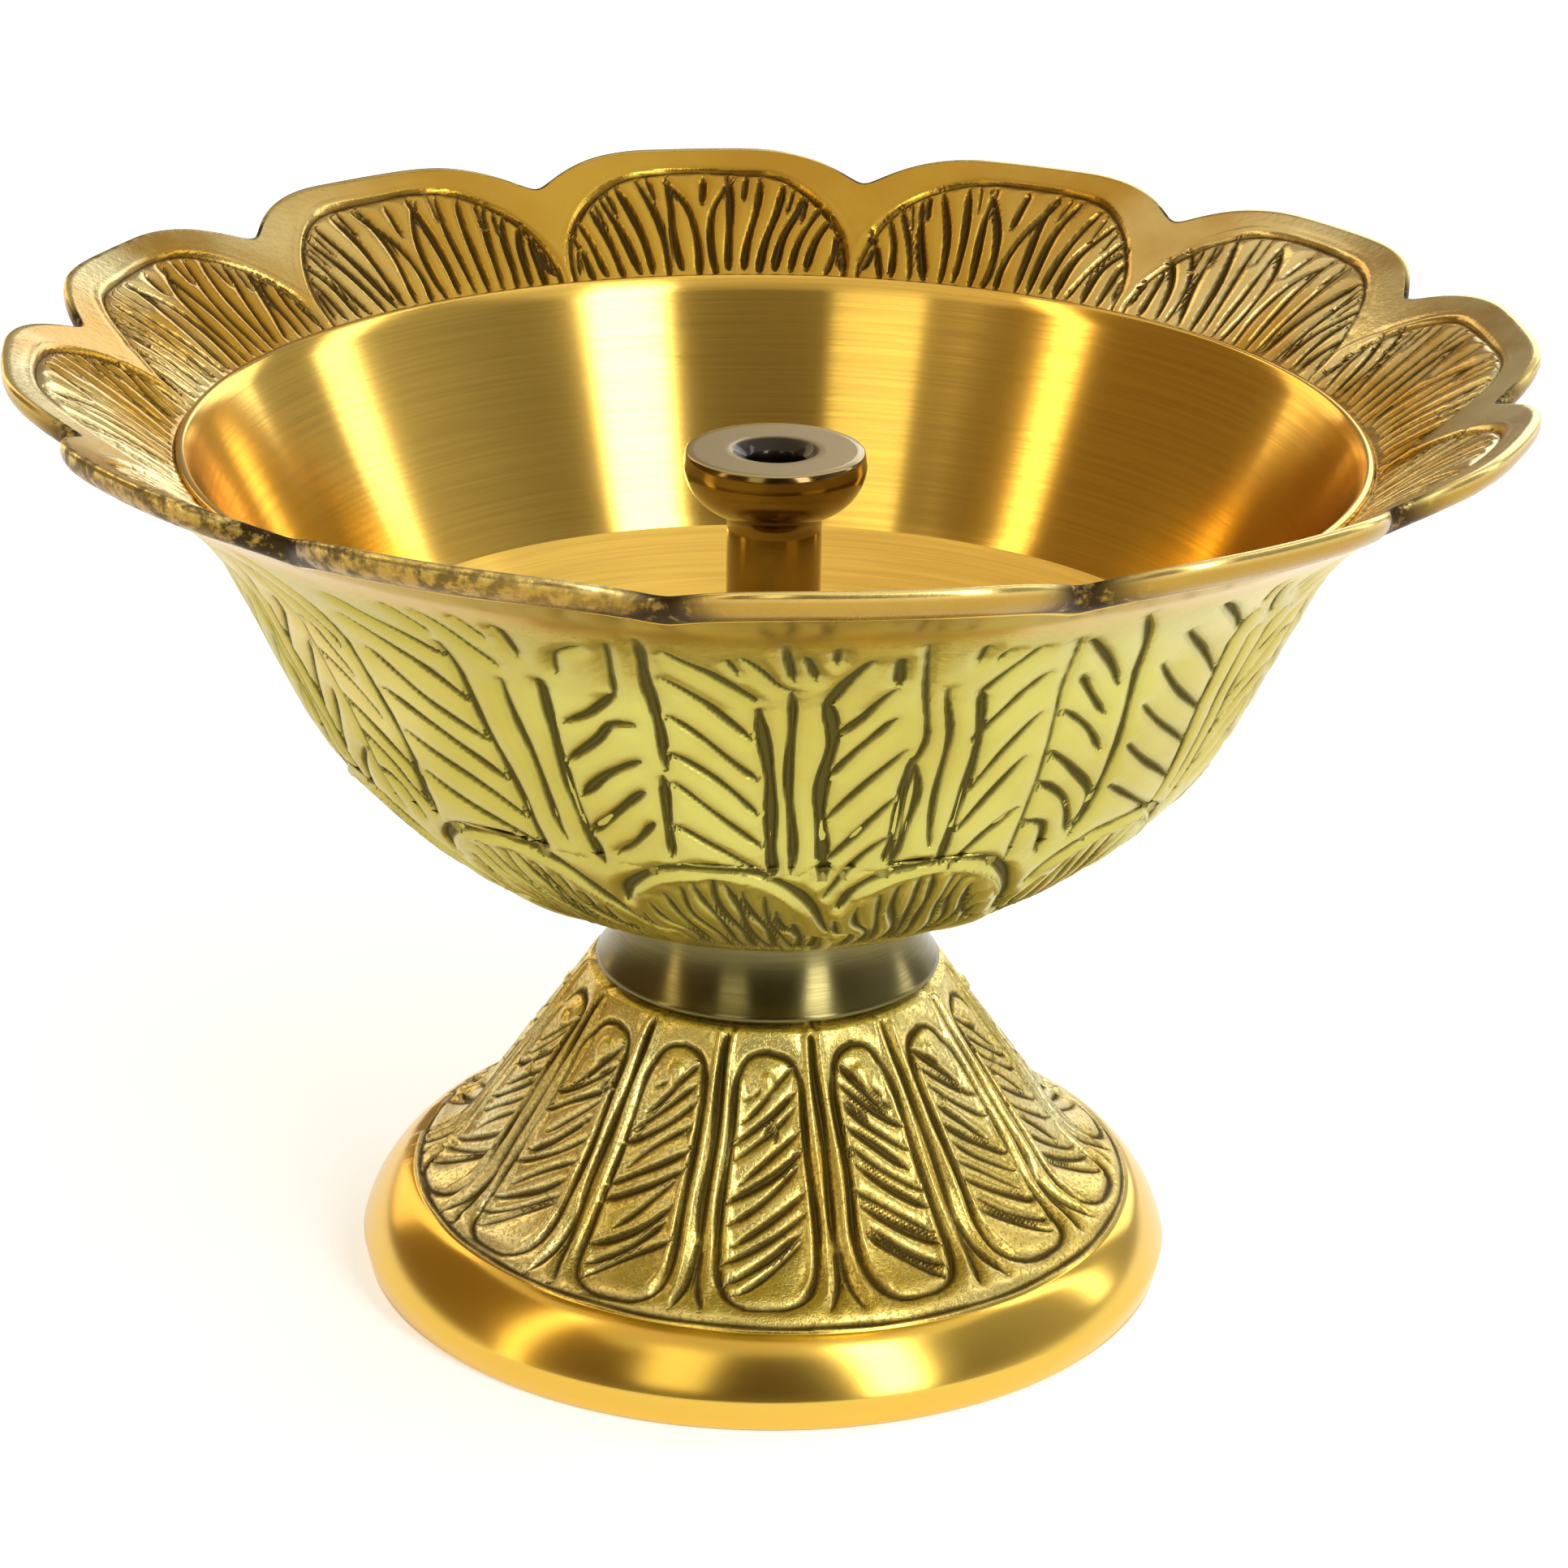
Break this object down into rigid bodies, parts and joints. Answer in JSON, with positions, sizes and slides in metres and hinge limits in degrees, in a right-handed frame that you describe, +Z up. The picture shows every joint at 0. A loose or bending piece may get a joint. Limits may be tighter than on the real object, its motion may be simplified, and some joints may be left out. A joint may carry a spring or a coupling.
{
  "type": "diya oil lamp",
  "caption": "Brass table oil lamp: an open bowl with a scalloped petal rim on a turned collar and a flared hollow pedestal, with a screw-in spool that holds the wick.",
  "frame": {"origin": "centre of the foot's resting ring, on the table", "axes": "+Z up along the lamp's turning axis; two opposite petals lie on X and two on Y, and -Y is the front"},
  "size_m": [0.14, 0.14, 0.092],
  "materials": {
    "cast_gold_brass": "cast and engraved, polished foot ring",
    "satin_brass": "turned, brushed round, greyish",
    "seal_fibre": "red-brown fibre, matt",
    "polished_brass": "turned and polished inside, engraved outside with dark patina in the cuts",
    "steel_fasteners": "zinc plated",
    "antique_brass": "darkened, waxed and glossy"
  },
  "bodies": {
    "lamp": {"pedestal_base": "cast_gold_brass", "neck_collar": "satin_brass", "bowl_seal_washer": "seal_fibre", "bowl": "polished_brass", "centre_stud": "steel_fasteners", "clamp_washer": "steel_fasteners", "clamp_nut": "steel_fasteners"},
    "seal_washer": {"holder_seal_washer": "seal_fibre"},
    "holder": {"wick_holder": "antique_brass"}
  },
  "joints": [
    {"name": "holder_rise", "type": "slide", "parent": "lamp", "child": "seal_washer", "axis": [0, 0, 1], "range_m": [0, 0.0115]},
    {"name": "holder_turn", "type": "hinge", "parent": "seal_washer", "child": "holder", "pos_m": [0, 0, 0.042], "axis": [0, 0, 1], "range_deg": [0, 3672]}
  ],
  "couplings": [
    {"joint": "holder_rise", "follows": "holder_turn", "m_per_rad": 0.00015915}
  ]
}
